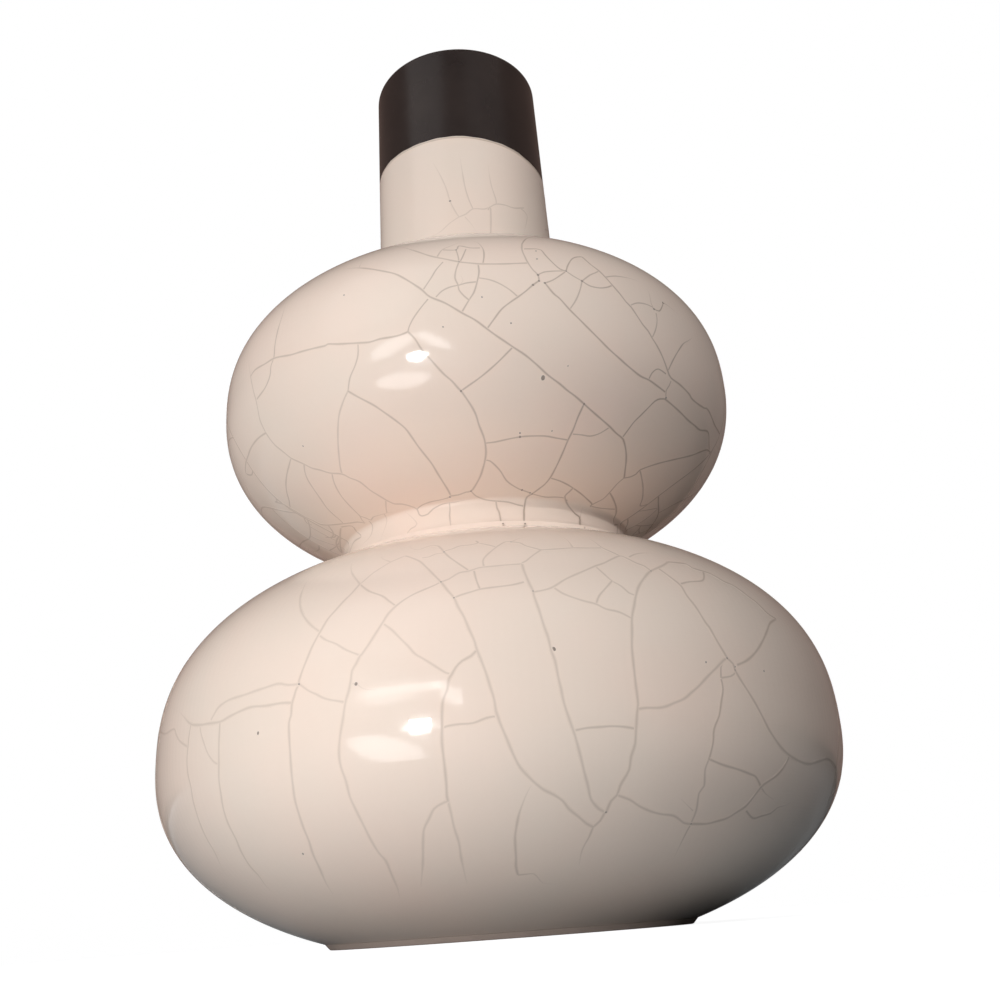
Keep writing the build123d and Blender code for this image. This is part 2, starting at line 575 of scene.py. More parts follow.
def turningTree():
    inputs = {"Profile": "Geometry", "Segments": "Int", "Sharp Angle": "Float"}
    inputs |= {"Glaze": "Material", "Lining": "Material", "Clay": "Material"}
    tree, given, result = newTree("turnedSection", "GeometryNodeTree", inputs, {"Section": "Geometry"})

    def sampled(value, index, kind):
        inputs = {"Geometry": given["Profile"], "Value": value, "Index": index}
        return addNode(tree, "GeometryNodeSampleIndex", inputs, data_type=kind, domain="POINT").outputs[0]

    def compared(value, number, operation):
        inputs = {2: value, 3: number}
        return addNode(tree, "FunctionNodeCompare", inputs, data_type="INT", operation=operation).outputs[0]

    count = addNode(tree, "GeometryNodeAttributeDomainSize", {0: given["Profile"]}).outputs["Point Count"]
    rows = addMath(tree, "ADD", count, 1.0)
    columns = addMath(tree, "ADD", given["Segments"], 1.0)
    inputs = {"Size X": 1.0, "Size Y": 1.0, "Vertices X": columns, "Vertices Y": rows}
    grid = addNode(tree, "GeometryNodeMeshGrid", inputs).outputs["Mesh"]
    index = addNode(tree, "GeometryNodeInputIndex").outputs[0]
    row = addMath(tree, "MODULO", addMath(tree, "MODULO", index, rows), count)
    column = addMath(tree, "FLOOR", addMath(tree, "DIVIDE", addMath(tree, "ADD", index, 0.5), rows))
    share = addMath(tree, "DIVIDE", addMath(tree, "MODULO", column, given["Segments"]), given["Segments"])
    point = sampled(addNode(tree, "GeometryNodeInputPosition").outputs[0], row, "FLOAT_VECTOR")
    inputs = {"Vector": point, "Angle": addMath(tree, "MULTIPLY", share, -2 * math.pi)}
    spun = addNode(tree, "ShaderNodeVectorRotate", inputs, rotation_type="Z_AXIS").outputs[0]
    shaped = addNode(tree, "GeometryNodeSetPosition", {"Geometry": grid, "Position": spun}).outputs[0]
    sideFinish = sampled(storedValue(tree, "finish", "INT"), addMath(tree, "MODULO", index, count), "INT")
    inputs = {"Geometry": shaped, "Name": "finish", "Value": sideFinish}
    flow = addNode(tree, "GeometryNodeStoreNamedAttribute", inputs, data_type="INT", domain="FACE").outputs[0]
    inputs = {"Geometry": flow, "Distance": turning["mergeDistance"]}
    merged = addNode(tree, "GeometryNodeMergeByDistance", inputs).outputs[0]
    around = addNode(tree, "GeometryNodeInputMeshEdgeNeighbors").outputs[0]
    inputs = {"Geometry": merged, "Selection": compared(around, 1, "LESS_THAN")}
    clean = addNode(tree, "GeometryNodeDeleteGeometry", inputs, domain="EDGE", mode="EDGE_FACE").outputs[0]
    flow = realized(tree, creased(tree, clean, given["Sharp Angle"]))
    kind = storedValue(tree, "finish", "INT")
    for number, label in ((glazed, "Glaze"), (lining, "Lining"), (bare, "Clay")):
        inputs = {"Geometry": flow, "Selection": compared(kind, number, "EQUAL"), "Material": given[label]}
        flow = addNode(tree, "GeometryNodeSetMaterial", inputs).outputs[0]
    feed(tree, result, {"Section": flow})
    return tree


def profileMesh(name, sides):
    points = [(0, -radius, height) for (radius, height), side in sides]
    stored = {"finish": ("INT", [side for point, side in sides])}
    return guideMesh(name, points, ringEdges(len(sides)), stored)


# A smooth closed run through stops set at angles
def ringValue(stops, azimuth):
    azimuth = (azimuth + 180) % 360 - 180
    angles = sorted(stops)
    count = len(angles)
    place = next((spot for spot in range(count) if angles[spot] > azimuth), count) - 1
    around = [angles[(place + step) % count] + 360 * ((place + step) // count) for step in (-1, 0, 1, 2)]
    values = [stops[angles[(place + step) % count]] for step in (-1, 0, 1, 2)]
    span = around[2] - around[1]
    share = (azimuth - around[1]) / span
    startSlope = (values[2] - values[0]) / (around[2] - around[0]) * span
    endSlope = (values[3] - values[1]) / (around[3] - around[1]) * span
    start = values[1] * (2 * share**3 - 3 * share**2 + 1) + startSlope * (share**3 - 2 * share**2 + share)
    return start + values[2] * (3 * share**2 - 2 * share**3) + endSlope * (share**3 - share**2)


# How far the black glaze's edge runs off its level round the neck. The stops are in millimetres.
def bandShift(azimuth, height):
    distance = abs(height - form["bandBase"]) / turning["bandEdgeFade"]
    fade = max(0, 1 - distance * distance) ** 2
    return ringValue(turning["bandEdge"], azimuth) * millimetre * fade


def azimuthOf(x, y):
    return math.degrees(math.atan2(x, -y))


sections = [
    "foot_ring",
    "lower_bulb_bowl",
    "lower_bulb_shoulder",
    "waist_collar",
    "upper_bulb_bowl",
    "upper_bulb_shoulder",
    "neck",
    "mouth_collar",
]
sectionTree = turningTree()
for place, node in enumerate(sections):
    values = {"Segments": turning["segments"], "Sharp Angle": turning["sharpAngle"], "Clay": clayFinish}
    values["Glaze"] = blackMaterial if node == "mouth_collar" else creamMaterial
    values["Lining"] = liningMaterial
    piece = shapedPiece(node + "_wall", profileMesh(node, sectionOutline(place)), sectionTree, values)
    if node in ("neck", "mouth_collar"):
        for vertex in piece.data.vertices:
            x, y, height = vertex.co
            vertex.co.z += bandShift(azimuthOf(x, y), height)
    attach(piece, "root")
    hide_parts(node)
    print("stage:", node, len(piece.data.polygons), "faces")

# Crackle on the side that the photograph shows. Each run is a crack, in pixels of the 1000-wide frame.
crackRuns = {
    "neck": [
        [(432, 161), (440, 175), (446, 188), (450, 201), (455, 211), (459, 217)],
        [(460, 157), (462, 170), (465, 187), (469, 200), (473, 209)],
        [(488, 165), (491, 184), (496, 200), (496, 205)],
        [
            (459, 217), (466, 214), (473, 209), (484, 209), (490, 207), (496, 204), (505, 205), (514, 208),
            (524, 208),
        ],
        [(459, 217), (450, 223), (440, 232), (430, 237), (423, 238)],
        [(465, 217), (472, 225), (477, 233)],
        [(488, 210), (491, 220), (492, 233)],
        [(520, 208), (527, 216), (524, 232)],
    ],
    "upperTop": [
        [
            (400, 247), (415, 251), (430, 256), (445, 259), (459, 262), (470, 263), (482, 264), (505, 264),
            (527, 263),
        ],
        [(443, 262), (436, 270), (431, 278), (423, 290)],
        [(437, 257), (442, 250), (448, 247), (456, 244), (462, 241)],
        [(443, 250), (456, 250), (459, 246), (470, 248), (480, 248)],
        [(456, 250), (458, 256), (459, 262)],
        [(466, 249), (463, 256), (460, 262)],
        [(472, 241), (478, 243), (483, 249), (484, 256), (483, 263)],
        [(459, 262), (456, 270), (455, 278), (458, 285), (459, 290), (464, 296), (469, 300)],
        [(478, 264), (479, 272), (477, 282), (474, 292), (469, 300), (462, 312)],
        [(479, 278), (490, 280), (500, 284), (510, 290), (518, 297)],
        [(436, 297), (442, 291), (450, 287), (459, 285), (466, 283), (476, 282)],
        [(461, 276), (463, 281), (459, 285)],
    ],
    "upperMiddle": [
        [
            (344, 269), (359, 268), (370, 269), (382, 271), (395, 274), (405, 279), (415, 285), (422, 290),
            (430, 297), (445, 303), (462, 313), (475, 320), (487, 329), (497, 336), (513, 347), (525, 355),
            (537, 365), (548, 375), (560, 384), (567, 390), (575, 396), (584, 404), (592, 411), (600, 418),
            (610, 427), (616, 433), (622, 438), (624, 442), (626, 452), (626, 462), (625, 470), (624, 478),
        ],
        [(359, 268), (362, 262), (366, 259)],
    ],
    "upperLeft": [
        [(428, 299), (420, 309), (413, 319), (409, 327), (408, 332)],
        [
            (408, 332), (400, 335), (392, 337), (380, 339), (370, 342), (360, 343), (340, 344), (328, 344),
            (325, 346), (315, 348), (300, 352), (290, 355), (275, 358), (265, 364), (255, 370), (251, 376),
        ],
        [
            (408, 332), (415, 339), (422, 350), (431, 360), (440, 370), (445, 375), (452, 381), (458, 388),
            (461, 391), (466, 398), (472, 407), (476, 415), (479, 425), (483, 435), (485, 442), (486, 452),
            (485, 460), (483, 468), (480, 477), (475, 486), (471, 491), (466, 492), (458, 495), (450, 496),
        ],
        [(358, 344), (358, 355), (355, 366), (350, 378), (348, 391)],
        [
            (348, 391), (358, 397), (368, 402), (375, 406), (385, 413), (395, 420), (405, 428), (411, 436),
            (418, 446), (425, 455), (432, 464), (438, 474), (443, 482), (448, 490), (451, 496),
        ],
        [
            (342, 474), (340, 466), (339, 455), (338, 440), (338, 428), (339, 415), (342, 405), (345, 397),
            (348, 391),
        ],
        [
            (286, 305), (282, 317), (278, 330), (275, 345), (274, 357), (271, 366), (270, 376), (265, 388),
            (257, 399),
        ],
        [
            (249, 360), (250, 372), (252, 384), (254, 393), (256, 400), (258, 410), (260, 420), (263, 427),
            (266, 433),
        ],
        [
            (266, 433), (270, 439), (275, 445), (281, 450), (286, 454), (291, 458), (297, 461), (304, 464),
            (312, 468), (320, 470), (330, 473), (342, 474), (350, 478), (360, 482), (370, 490), (378, 495),
            (386, 500), (390, 502), (395, 504), (402, 504), (410, 506), (417, 509),
        ],
        [(266, 433), (260, 437), (255, 442), (251, 448), (248, 456), (246, 463), (246, 473)],
        [(291, 458), (289, 466), (287, 474), (286, 484), (287, 493), (289, 500), (290, 507)],
        [
            (304, 464), (305, 472), (308, 480), (313, 488), (320, 498), (327, 508), (333, 514), (340, 520),
            (343, 523),
        ],
        [(332, 473), (333, 479), (336, 487), (342, 497), (350, 506), (356, 512), (360, 516)],
    ],
    "upperRight": [
        [(487, 329), (494, 319), (502, 309), (512, 301), (518, 297), (526, 291), (533, 285), (539, 281)],
        [(513, 347), (506, 354), (498, 362), (488, 371), (478, 379), (468, 386), (461, 391)],
        [(522, 244), (522, 250), (525, 257), (528, 263), (533, 270), (538, 275), (539, 281)],
        [(522, 244), (526, 239), (533, 237), (542, 238)],
        [(524, 249), (537, 249), (541, 250), (546, 256), (553, 263), (560, 269), (566, 271)],
        [(538, 275), (544, 272), (555, 271), (566, 271)],
        [(545, 283), (553, 280), (561, 275), (566, 271)],
        [
            (545, 283), (553, 293), (560, 299), (570, 310), (581, 321), (590, 330), (600, 340), (609, 349),
            (620, 359), (629, 367), (640, 376), (649, 380), (657, 386), (665, 392),
        ],
        [(566, 271), (568, 265), (572, 259), (577, 257), (582, 257)],
        [(566, 271), (573, 276), (582, 281)],
        [(582, 281), (590, 286), (600, 288), (608, 287), (613, 285)],
        [(582, 281), (590, 275), (595, 273), (599, 271)],
        [(582, 281), (580, 290), (576, 300), (570, 309)],
        [
            (582, 257), (590, 264), (599, 271), (606, 278), (613, 286), (620, 294), (626, 302), (631, 307),
            (637, 316), (643, 325), (648, 331), (652, 338), (657, 346), (662, 356), (666, 366), (668, 372),
            (671, 378), (680, 385), (689, 394), (692, 399), (698, 404), (704, 408), (708, 410),
        ],
        [(606, 277), (615, 276), (628, 278), (638, 281)],
        [(631, 305), (637, 303), (645, 304), (652, 307), (654, 309)],
        [(654, 309), (651, 303), (649, 293), (646, 289)],
        [(654, 309), (659, 311), (662, 307), (663, 303)],
        [(663, 303), (667, 305), (672, 309), (677, 313)],
        [(656, 313), (657, 320), (656, 328), (653, 336), (652, 338)],
        [(649, 379), (652, 373), (658, 369), (666, 374)],
        [(668, 371), (672, 362), (677, 353), (683, 344), (688, 341), (692, 338)],
        [(671, 381), (669, 386), (666, 391), (666, 398)],
        [(622, 438), (628, 430), (634, 422), (640, 416), (648, 408), (655, 401), (660, 399), (665, 399)],
        [(665, 399), (672, 405), (680, 412), (688, 420), (695, 426), (700, 430), (708, 432)],
        [
            (624, 478), (630, 477), (636, 474), (640, 470), (650, 466), (660, 463), (672, 460), (685, 457),
            (693, 455), (700, 452),
        ],
        [(640, 471), (642, 480), (643, 490), (642, 500), (640, 505)],
        [
            (584, 404), (578, 417), (573, 430), (568, 440), (563, 452), (558, 463), (554, 471), (550, 478),
            (545, 484), (540, 488), (536, 491), (532, 494),
        ],
        [(573, 434), (582, 435), (590, 436), (598, 434), (604, 431), (610, 427)],
        [(486, 443), (495, 442), (508, 439), (520, 437), (530, 436), (545, 436), (556, 438), (568, 440)],
        [
            (485, 460), (490, 461), (496, 466), (501, 472), (506, 480), (512, 485), (519, 489), (522, 490),
            (530, 493), (532, 494),
        ],
    ],
    "waist": [
        [
            (275, 502), (283, 504), (290, 508), (297, 512), (305, 517), (312, 520), (320, 524), (328, 525),
            (340, 524), (350, 523), (358, 522), (365, 523),
        ],
        [(304, 518), (307, 523), (312, 525)],
        [(328, 525), (333, 532), (332, 537), (325, 537)],
        [(360, 516), (366, 518), (371, 520), (373, 517), (380, 515), (387, 513), (395, 512)],
        [(360, 516), (362, 520), (365, 523)],
        [(386, 500), (386, 507), (387, 513)],
        [(341, 527), (352, 526), (357, 532), (361, 537)],
        [(341, 528), (340, 540), (342, 553)],
        [(369, 521), (371, 535), (362, 545)],
        [(384, 514), (386, 525), (380, 540)],
        [(405, 512), (417, 524), (408, 532), (400, 537)],
        [(417, 509), (422, 505), (430, 502), (440, 500), (447, 498), (450, 497)],
        [
            (417, 509), (419, 514), (422, 516), (428, 514), (433, 509), (443, 504), (455, 502), (465, 500),
            (471, 499),
        ],
        [(471, 491), (476, 496), (483, 499), (493, 501), (508, 502), (518, 505), (524, 506)],
        [(449, 502), (450, 510), (450, 520), (450, 528)],
        [(496, 501), (497, 508), (500, 516), (503, 524), (507, 526)],
        [(532, 494), (527, 497), (525, 503), (524, 510), (524, 518), (525, 524), (524, 528)],
        [(526, 524), (530, 526)],
        [(532, 494), (545, 497), (555, 497), (564, 498), (567, 501)],
        [(550, 478), (560, 481), (568, 485), (573, 488), (580, 493), (587, 499), (592, 504), (590, 507)],
        [
            (573, 488), (569, 492), (565, 496), (566, 501), (570, 508), (575, 514), (580, 520), (585, 527),
            (590, 532),
        ],
        [(583, 507), (581, 513), (580, 520)],
        [(624, 478), (617, 484), (610, 492), (603, 499), (595, 503), (590, 506)],
        [(610, 493), (614, 501), (616, 508), (615, 516), (614, 525), (617, 533), (620, 537)],
        [(590, 506), (600, 508), (610, 509), (616, 509)],
    ],
    "shoulder": [
        [(444, 552), (438, 546), (430, 546), (424, 548), (417, 550), (411, 548), (410, 546)],
        [(445, 553), (436, 554), (429, 557), (422, 558)],
        [(445, 551), (452, 549), (460, 546), (470, 545), (478, 543), (476, 541)],
        [(478, 543), (488, 545), (496, 547)],
        [(444, 552), (449, 557), (459, 564), (468, 570)],
        [(474, 571), (476, 579), (479, 587), (480, 589)],
        [(484, 567), (483, 561), (486, 556), (494, 549), (498, 546)],
        [(498, 546), (505, 542), (511, 542), (520, 543), (526, 546), (541, 550)],
        [(511, 542), (518, 539), (530, 536)],
        [(541, 550), (532, 556), (526, 561), (522, 563)],
        [(541, 550), (558, 549), (573, 548), (586, 548), (601, 548)],
        [(573, 548), (568, 541), (561, 536)],
        [(620, 556), (609, 551), (601, 547), (596, 543), (588, 538)],
        [(595, 566), (604, 563), (612, 559), (620, 556), (626, 558), (636, 563), (644, 566), (651, 571)],
        [(595, 566), (584, 571), (572, 576), (564, 580), (553, 587), (544, 590), (534, 592)],
        [(595, 566), (604, 574), (612, 581), (621, 586), (629, 593), (635, 595)],
        [(612, 581), (605, 589), (599, 596), (596, 604)],
        [(553, 587), (562, 593), (572, 597), (584, 601), (596, 604), (606, 609), (619, 612), (631, 618)],
        [(629, 557), (636, 554), (646, 553), (659, 554)],
        [(360, 584), (364, 581), (372, 574), (381, 568), (391, 562), (398, 559), (405, 556)],
        [(391, 562), (383, 559), (381, 556)],
        [(360, 584), (356, 579), (352, 573), (351, 567), (352, 563)],
        [(360, 584), (369, 591), (382, 596), (389, 601), (396, 606)],
        [(396, 606), (404, 600), (414, 594), (426, 589), (435, 585), (441, 582)],
        [(441, 582), (434, 575), (425, 566), (419, 561), (409, 557), (405, 556)],
        [
            (441, 582), (449, 579), (459, 573), (469, 571), (478, 568), (484, 567), (495, 566), (506, 565),
            (522, 564),
        ],
        [(454, 598), (461, 595), (471, 592), (481, 589), (495, 587), (512, 585), (524, 582)],
    ],
    "lowerLeft": [
        [(309, 579), (304, 587), (300, 600), (302, 613), (310, 624), (319, 631)],
        [
            (360, 584), (352, 593), (344, 601), (335, 611), (328, 619), (322, 629), (319, 634), (312, 647),
            (307, 659), (303, 669), (299, 681), (299, 684),
        ],
        [(320, 636), (326, 640), (336, 644), (346, 650), (359, 655)],
        [
            (299, 684), (288, 685), (278, 684), (264, 688), (255, 691), (244, 695), (229, 700), (219, 707),
            (215, 713), (211, 720),
        ],
        [(299, 684), (302, 686), (309, 691), (316, 694), (326, 699), (345, 702)],
        [
            (298, 686), (296, 690), (294, 697), (292, 704), (291, 716), (289, 723), (290, 749), (291, 766),
            (293, 786), (295, 800), (299, 814), (304, 829), (309, 841), (313, 854), (320, 869), (326, 883),
            (333, 894),
        ],
        [
            (291, 703), (281, 703), (266, 706), (252, 707), (241, 711), (229, 717), (220, 722), (207, 724),
            (200, 725), (191, 724), (184, 717), (180, 712),
        ],
        [
            (191, 725), (189, 737), (188, 748), (187, 760), (188, 774), (191, 787), (193, 800), (196, 811),
            (200, 823), (206, 837), (213, 849), (217, 857), (221, 866), (224, 871),
        ],
        [(188, 747), (180, 741), (176, 734), (174, 729)],
        [(200, 725), (201, 733), (204, 743), (208, 754), (214, 762), (218, 764)],
        [
            (220, 723), (219, 743), (219, 763), (219, 780), (221, 794), (223, 807), (228, 823), (236, 839),
            (241, 851), (250, 866), (259, 876), (267, 887), (274, 893),
        ],
        [
            (396, 606), (388, 614), (383, 622), (376, 633), (369, 644), (362, 654), (360, 656), (356, 664),
            (352, 671), (351, 679), (349, 690), (346, 700), (344, 711), (343, 719), (340, 737), (339, 754),
            (341, 767), (346, 781), (350, 797), (356, 810), (364, 826), (371, 840), (379, 853), (386, 861),
            (391, 873), (397, 887), (400, 898),
        ],
        [
            (384, 624), (392, 630), (399, 637), (408, 646), (415, 654), (424, 659), (435, 666), (446, 673),
            (451, 674),
        ],
        [(349, 684), (356, 684), (364, 689), (376, 690)],
    ],
    "lowerMiddle": [
        [
            (441, 582), (448, 591), (454, 598), (458, 607), (464, 617), (469, 629), (474, 640), (477, 650),
            (481, 660), (486, 673), (490, 686), (494, 699), (496, 711), (498, 717), (500, 723), (506, 737),
            (513, 754), (520, 767), (529, 777), (536, 784), (544, 790), (554, 795), (563, 801), (569, 809),
            (579, 817), (587, 824), (593, 827),
        ],
        [
            (476, 651), (471, 656), (462, 661), (456, 667), (452, 674), (449, 679), (448, 684), (447, 690),
            (443, 701), (442, 712), (442, 727), (442, 743), (444, 761), (446, 780), (447, 797), (448, 801),
        ],
        [
            (448, 801), (441, 804), (434, 809), (429, 819), (424, 829), (423, 843), (423, 860), (422, 874),
            (421, 887),
        ],
        [(448, 801), (451, 813), (454, 827), (459, 843), (461, 857), (464, 871), (467, 884)],
        [(497, 716), (487, 718), (473, 723), (459, 724), (447, 726), (440, 729)],
        [
            (531, 786), (527, 793), (524, 800), (519, 814), (516, 829), (515, 840), (516, 857), (516, 867),
            (518, 875),
        ],
        [(518, 875), (527, 874), (534, 874), (539, 879), (543, 883), (551, 884)],
        [
            (606, 812), (599, 809), (591, 799), (588, 786), (584, 771), (580, 754), (575, 736), (570, 721),
            (564, 703), (561, 689), (558, 676), (555, 661), (551, 650), (548, 637), (544, 626), (539, 610),
            (534, 596), (533, 591), (529, 583), (524, 571), (522, 564),
        ],
    ],
    "lowerRight": [
        [
            (593, 827), (600, 821), (604, 814), (606, 812), (611, 801), (617, 795), (620, 786), (624, 779),
            (629, 770), (631, 757), (635, 744), (636, 729), (637, 714), (638, 704), (636, 687), (634, 669),
            (632, 649), (632, 631), (632, 617), (634, 606), (636, 595), (639, 586), (645, 577), (651, 571),
            (662, 566), (668, 562),
        ],
        [(593, 827), (589, 837), (584, 846), (581, 854), (579, 866)],
        [(573, 731), (587, 728), (600, 727), (611, 726), (624, 727), (636, 729)],
        [(617, 795), (630, 800), (639, 806), (650, 811), (661, 814), (674, 816), (684, 823), (691, 824)],
        [(691, 824), (687, 831), (681, 843), (674, 857)],
        [(681, 799), (693, 811)],
        [
            (639, 709), (647, 708), (659, 708), (667, 706), (674, 703), (684, 699), (691, 693), (699, 686),
            (707, 677), (716, 668), (724, 660), (727, 658),
        ],
        [
            (659, 569), (666, 574), (674, 580), (681, 586), (687, 596), (695, 606), (705, 622), (709, 627),
            (717, 641), (726, 656), (727, 658), (733, 664), (735, 670), (740, 679), (747, 690), (754, 701),
            (761, 714), (767, 726), (771, 733), (780, 746), (789, 755), (799, 761), (809, 764), (820, 761),
            (827, 759),
        ],
        [
            (789, 757), (783, 768), (776, 776), (766, 783), (761, 787), (754, 796), (746, 806), (737, 812),
            (727, 818), (717, 821), (706, 824), (691, 824),
        ],
        [(761, 787), (756, 777), (750, 774), (737, 769), (723, 765), (709, 759)],
        [(709, 759), (713, 743), (714, 729), (719, 716), (721, 703), (723, 689), (721, 679)],
        [(709, 759), (705, 770), (704, 786), (699, 793), (696, 811), (691, 823)],
        [(761, 787), (766, 794), (774, 800)],
        [(746, 811), (753, 818), (761, 816), (771, 813), (777, 808), (786, 805), (791, 802)],
        [(776, 619), (770, 623), (767, 631), (761, 644), (754, 654), (746, 661), (737, 665)],
        [(721, 678), (731, 676), (735, 673)],
        [(721, 678), (721, 667), (724, 660)],
        [(681, 584), (689, 582), (701, 581), (704, 578), (703, 571)],
        [
            (668, 562), (686, 564), (692, 568), (702, 571), (711, 574), (723, 581), (734, 586), (749, 597),
            (757, 603), (767, 613), (776, 619),
        ],
    ],
}
# Dark spots where the glaze has pitted at a crossing, and loose pinholes with their sizes
pitSpots = [
    (450, 201), (459, 262), (456, 250), (584, 404), (461, 391), (471, 491), (533, 285), (539, 281),
    (538, 275), (566, 271), (545, 283), (582, 281), (654, 309), (663, 303), (666, 398), (532, 494),
    (520, 437), (522, 490), (530, 493), (450, 497), (503, 524), (525, 524), (444, 552), (511, 542),
    (441, 582), (299, 684), (356, 684), (454, 598), (606, 812), (533, 591), (651, 571), (691, 824),
    (727, 658), (735, 670), (761, 787),
]
pinholes = {
    (543, 378): 2.1, (554, 649): 1.5, (258, 733): 1.2, (303, 854): 1.0, (303, 446): 0.8, (482, 297): 0.8,
    (511, 323): 0.8, (443, 327): 0.7, (568, 366): 0.6, (520, 433): 0.9, (552, 431): 0.7, (536, 251): 0.9,
    (537, 259): 0.9, (344, 295): 0.8, (706, 662): 0.8, (764, 671): 0.8, (735, 667): 0.9,
}
crackle = {
    "seed": 4,
    "pointSpacing": 0.0012,
    "halfWidth": 0.00042,
    "sharpAngle": math.radians(35),
    "fullLength": 0.036,  # a shorter run is drawn thinner, down to the share below
    "shortWidth": 0.62,
    "ripple": (0.12, 900),  # how much the width wavers, and how fast
    "shadeSpread": (0.75, 1),
    "taperLength": 0.009,  # over which a free end thins and pales to these shares
    "taperWidth": 0.3,
    "taperStain": 0.25,
    "joinPixels": 4.5,  # a run that ends this near another one meets it
    "reachAzimuth": 56,  # free ends past this are carried round to the flank cracks
    "reachSpread": (0.004, 0.0015),  # how far the end and the middle of that reach wander
    "flankAzimuth": 70,  # the cracks that part the traced side from the unseen one
    "flankWaves": ((61, 1, 3.5), (147, 2, 1.6)),
    "neckSides": ((66, 3, 160, 0), (294, 3, 130, 1)),  # where the neck's unseen part starts and ends
    "capFoot": 0.1925,  # from this height up the front of the upper shoulder is out of sight too
    "capSteps": 6,
    "stain": (0.41, 0.31, 0.245, 1),
    "zoneStain": {"neck": 0.5, "upper": 0.92, "lower": 0.6},
    "zoneWidth": {"neck": 0.9, "upper": 1.0, "lower": 1.25},
    "zoneHeights": {"neck": (0.2125, 0.2555), "upper": (0.1098, 0.2115), "lower": (0.0085, 0.1075)},
    # crack stain strength round the vase: real stain, with painted shade that makes it stronger on the shaded
    # right side and fainter on the lit left
    "stainWithShadeRound": {-180: 0.8, -110: 0.7, -60: 0.62, -25: 0.66, 10: 0.85, 40: 1.0, 90: 0.95, 140: 0.85},
    "pittedShare": 0.14,  # of the cracks on the unseen side
}
# How the unseen side is split: cell sizes at heights, and the spread of each new crack
splitting = {
    "cellSizes": {
        0.0: 0.036, 0.03: 0.034, 0.06: 0.03, 0.085: 0.02, 0.1: 0.011, 0.108: 0.008, 0.12: 0.009,
        0.13: 0.017, 0.15: 0.026, 0.175: 0.025, 0.195: 0.015, 0.205: 0.009, 0.22: 0.009, 0.26: 0.013,
    },
    "cellSpread": (0.8, 1.25),
    "fewestPoints": 8,
    "tries": 40,
    "oppositeShare": (0.36, 0.64),  # how far round the patch the other end lies
    "lengthSpread": (0.85, 1.4),
    "bow": 0.13,
    "ripple": 0.03,
    "stepLength": 0.004,
    "fewestSteps": 3,
    "rimRadius": 0.06,  # stands for the wall's radius where the points of a level edge are counted
}
chance = random.Random(crackle["seed"])

# The glazed wall as a run of lengths, radii and heights from the foot up
wallRun = {
    "spacing": 0.0001,
    "sideStep": 0.0004,  # how far to each side the facing of a place is measured
    "sightReach": (0.15, 0.5, 0.0005),  # the distances and the step at which a sight line is followed
    "leastRise": 1e-10,  # keeps the heights rising where the wall runs level
}
wallLine = np.array(skin)
wallLengths = np.concatenate(([0], np.cumsum(np.hypot(*np.diff(wallLine, axis=0).T))))
fineLengths = np.arange(0, wallLengths[-1], wallRun["spacing"])
fineRadii = np.interp(fineLengths, wallLengths, wallLine[:, 0])
fineHeights = np.interp(fineLengths, wallLengths, wallLine[:, 1])
risingHeights = np.maximum.accumulate(fineHeights) + np.arange(len(fineHeights)) * wallRun["leastRise"]


def lengthAt(height):
    return float(np.interp(height, risingHeights, fineLengths))


def radiusAt(length):
    return float(np.interp(length, fineLengths, fineRadii))


def heightAt(length):
    return float(np.interp(length, fineLengths, fineHeights))


# A place on the wall and the direction it faces, from its azimuth and its length up the outline
def wallPlace(azimuth, length):
    radius = radiusAt(length)
    height = heightAt(length)
    step = wallRun["sideStep"]
    rise = heightAt(length + step) - heightAt(length - step)
    run = radiusAt(length + step) - radiusAt(length - step)
    across, up = rise / math.hypot(rise, run), -run / math.hypot(rise, run)
    turn = math.radians(azimuth)
    around = (math.sin(turn), -math.cos(turn))
    if height > form["neckSeat"]:
        height += bandShift(azimuth, height)
    return (around[0] * radius, around[1] * radius, height), (around[0] * across, around[1] * across, up)


# Where the sight line through a pixel meets the wall: the azimuth and the length up the outline
def sightedPlace(pixel):
    right, down = (value - photoCamera["frameWidth"] / 2 for value in pixel)
    sight = cameraForward * photoCamera["pixels"] + cameraRight * right - cameraUp * down
    sight.normalize()
    points = np.array(eye) + np.arange(*wallRun["sightReach"])[:, None] * np.array(sight)
    gaps = np.hypot(points[:, 0], points[:, 1]) - np.interp(points[:, 2], risingHeights, fineRadii)
    inside = np.nonzero(gaps < 0)[0]
    if len(inside):
        near = inside[0]
        share = gaps[near - 1] / (gaps[near - 1] - gaps[near])
        point = points[near - 1] + (points[near] - points[near - 1]) * share
    else:
        point = points[int(np.argmin(gaps))]
    distances = np.hypot(fineRadii - math.hypot(point[0], point[1]), fineHeights - point[2])
    return azimuthOf(point[0], point[1]), float(fineLengths[int(np.argmin(distances))])


# A smooth run through azimuth and length stops, at an even spacing
def smoothRun(stops):
    path = []
    spread = [stops[0], *stops, stops[-1]]
    for place in range(1, len(spread) - 2):
        before, start, end, after = (np.array(spread[place + step]) for step in (-1, 0, 1, 2))
        radius = radiusAt((start[1] + end[1]) / 2)
        length = math.hypot(math.radians(end[0] - start[0]) * radius, end[1] - start[1])
        steps = max(1, math.ceil(length / crackle["pointSpacing"]))
        for step in range(steps):
            t = step / steps
            bend = (end - before) * t + (2 * before - 5 * start + 4 * end - after) * t * t
            path.append(tuple(start + (bend + (3 * start - before - 3 * end + after) * t**3) / 2))
    return path + [tuple(stops[-1])]


# How near a pixel is to a run of pixels
def nearPixel(pixel, run):
    point = Vector(pixel)
    best = math.inf
    for start, end in zip(run, run[1:]):
        first, along = Vector(start), Vector(end) - Vector(start)
        share = min(1, max(0, (point - first).dot(along) / along.length_squared))
        best = min(best, (point - first - along * share).length)
    return best


# The flank crack that closes the side seen in the photograph: its azimuth at a length up the wall
def flankAzimuth(side, length):
    wave = sum(math.sin(length * pitch + turn * side) * sway for pitch, turn, sway in crackle["flankWaves"])
    return side * (crackle["flankAzimuth"] + wave)


